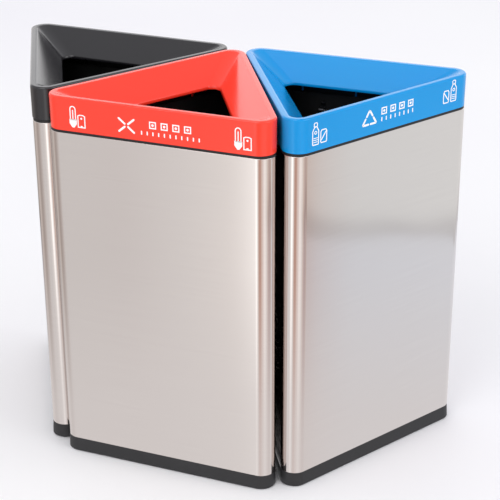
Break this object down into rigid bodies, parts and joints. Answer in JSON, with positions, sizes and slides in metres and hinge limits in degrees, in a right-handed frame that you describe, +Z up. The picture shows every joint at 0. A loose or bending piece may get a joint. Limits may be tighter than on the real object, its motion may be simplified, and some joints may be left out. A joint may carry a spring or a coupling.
{
  "type": "recycling bin station",
  "caption": "Free-standing sorting station: triangular stainless steel bins in a fan, each with a coloured funnel lid, a dark plinth and a lift-out bucket.",
  "frame": {"origin": "on the floor, under the middle of the station's overall box", "axes": "+Z up; -Y is the front, the side the middle bin's printed lid band faces; +X to the right seen from the front"},
  "size_m": [0.8792, 0.405, 0.708],
  "materials": {
    "stainless_sheet": "fine horizontal hairline, satin",
    "stainless_strip": "mill finish",
    "black_plinth": "fine moulded grain",
    "foot_rubber": "matt",
    "zinc_screw": "zinc plated",
    "black_frame": "fine moulded grain",
    "grey_lid": "smooth moulded, satin gloss",
    "red_lid": "smooth moulded, gloss",
    "blue_lid": "smooth moulded, gloss",
    "black_bucket": "moulded, matt",
    "handle_rod": "bright zinc plated rod",
    "bracket_steel": "zinc plated pressing",
    "rivet_steel": "zinc plated"
  },
  "bodies": {
    "middle_bin": {"middle_shell": "stainless_sheet", "middle_seam_strip": "stainless_strip", "middle_plinth": "black_plinth", "middle_feet": "foot_rubber", "middle_foot_screws": "zinc_screw", "middle_top_frame": "black_frame"},
    "middle_bucket": {"middle_bucket": "black_bucket", "middle_handle_brackets": "bracket_steel", "middle_handle_rivets": "rivet_steel"},
    "middle_handle_right": {"middle_handle_right": "handle_rod"},
    "middle_handle_left": {"middle_handle_left": "handle_rod"},
    "middle_lid": {"middle_lid": "red_lid"},
    "left_bin": {"left_shell": "stainless_sheet", "left_seam_strip": "stainless_strip", "left_plinth": "black_plinth", "left_feet": "foot_rubber", "left_foot_screws": "zinc_screw", "left_top_frame": "black_frame"},
    "left_bucket": {"left_bucket": "black_bucket", "left_handle_brackets": "bracket_steel", "left_handle_rivets": "rivet_steel"},
    "left_handle_right": {"left_handle_right": "handle_rod"},
    "left_handle_left": {"left_handle_left": "handle_rod"},
    "left_lid": {"left_lid": "grey_lid"},
    "right_bin": {"right_shell": "stainless_sheet", "right_seam_strip": "stainless_strip", "right_plinth": "black_plinth", "right_feet": "foot_rubber", "right_foot_screws": "zinc_screw", "right_top_frame": "black_frame"},
    "right_bucket": {"right_bucket": "black_bucket", "right_handle_brackets": "bracket_steel", "right_handle_rivets": "rivet_steel"},
    "right_handle_right": {"right_handle_right": "handle_rod"},
    "right_handle_left": {"right_handle_left": "handle_rod"},
    "right_lid": {"right_lid": "blue_lid"}
  },
  "joints": [
    {"name": "left_bin_pull", "type": "slide", "parent": "middle_bin", "child": "left_bin", "axis": [-0.866, 0.5, 0], "range_m": [0, 0.3]},
    {"name": "right_bin_pull", "type": "slide", "parent": "middle_bin", "child": "right_bin", "axis": [0.866, 0.5, 0], "range_m": [0, 0.3]},
    {"name": "middle_bucket_lift", "type": "slide", "parent": "middle_bin", "child": "middle_bucket", "axis": [0, 0, 1], "range_m": [0, 0.66]},
    {"name": "middle_lid_lift", "type": "slide", "parent": "middle_bucket", "child": "middle_lid", "axis": [0, 0, 1], "range_m": [0, 0.15]},
    {"name": "middle_handle_right_swing", "type": "hinge", "parent": "middle_bucket", "child": "middle_handle_right", "pos_m": [0.09396, -0.0156, 0.606], "axis": [-0.5, 0.866, 0], "range_deg": [0, 180]},
    {"name": "middle_handle_left_swing", "type": "hinge", "parent": "middle_bucket", "child": "middle_handle_left", "pos_m": [-0.09396, -0.0156, 0.606], "axis": [-0.5, -0.866, 0], "range_deg": [0, 180]},
    {"name": "left_bucket_lift", "type": "slide", "parent": "left_bin", "child": "left_bucket", "axis": [0, 0, 1], "range_m": [0, 0.66]},
    {"name": "left_lid_lift", "type": "slide", "parent": "left_bucket", "child": "left_lid", "axis": [0, 0, 1], "range_m": [0, 0.15]},
    {"name": "left_handle_right_swing", "type": "hinge", "parent": "left_bucket", "child": "left_handle_right", "pos_m": [-0.13897, 0.01084, 0.606], "axis": [0.515, 0.8572, 0], "range_deg": [0, 180]},
    {"name": "left_handle_left_swing", "type": "hinge", "parent": "left_bucket", "child": "left_handle_left", "pos_m": [-0.23007, 0.1752, 0.606], "axis": [-0.9998, 0.0175, 0], "range_deg": [0, 180]},
    {"name": "right_bucket_lift", "type": "slide", "parent": "right_bin", "child": "right_bucket", "axis": [0, 0, 1], "range_m": [0, 0.66]},
    {"name": "right_lid_lift", "type": "slide", "parent": "right_bucket", "child": "right_lid", "axis": [0, 0, 1], "range_m": [0, 0.15]},
    {"name": "right_handle_right_swing", "type": "hinge", "parent": "right_bucket", "child": "right_handle_right", "pos_m": [0.23007, 0.1752, 0.606], "axis": [-0.9998, -0.0175, 0], "range_deg": [0, 180]},
    {"name": "right_handle_left_swing", "type": "hinge", "parent": "right_bucket", "child": "right_handle_left", "pos_m": [0.13897, 0.01084, 0.606], "axis": [0.515, -0.8572, 0], "range_deg": [0, 180]}
  ]
}
